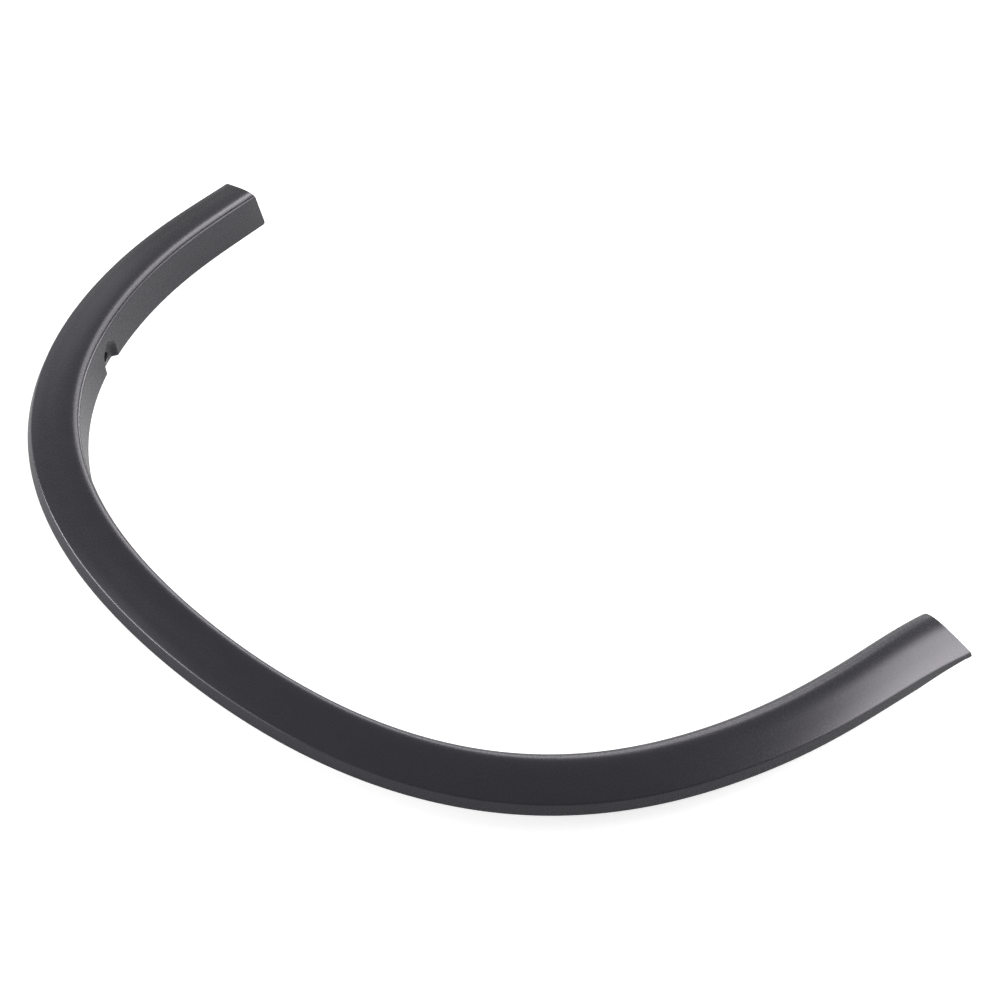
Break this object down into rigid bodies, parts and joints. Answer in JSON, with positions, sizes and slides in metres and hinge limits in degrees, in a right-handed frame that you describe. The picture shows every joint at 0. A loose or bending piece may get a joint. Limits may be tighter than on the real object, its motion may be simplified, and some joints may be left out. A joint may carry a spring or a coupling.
{
  "type": "wheel arch trim",
  "caption": "Moulded black plastic trim that follows a car's wheel opening: a sloping face with a rounded inner flange, a narrow outer lip, a screw recess in one leg and clip seats behind",
  "frame": {"origin": "middle of the bounding box in plan, on the ground plane below the flange's foot", "axes": "+Z is the car's outside, +Y runs to the crown of the arch, X runs along the car from tip to tip"},
  "size_m": [0.789, 0.5052, 0.0432],
  "materials": {
    "arch_moulding": "fine satin grain, moulded in charcoal"
  },
  "bodies": {
    "root": {"arch_moulding": "arch_moulding"}
  },
  "joints": []
}
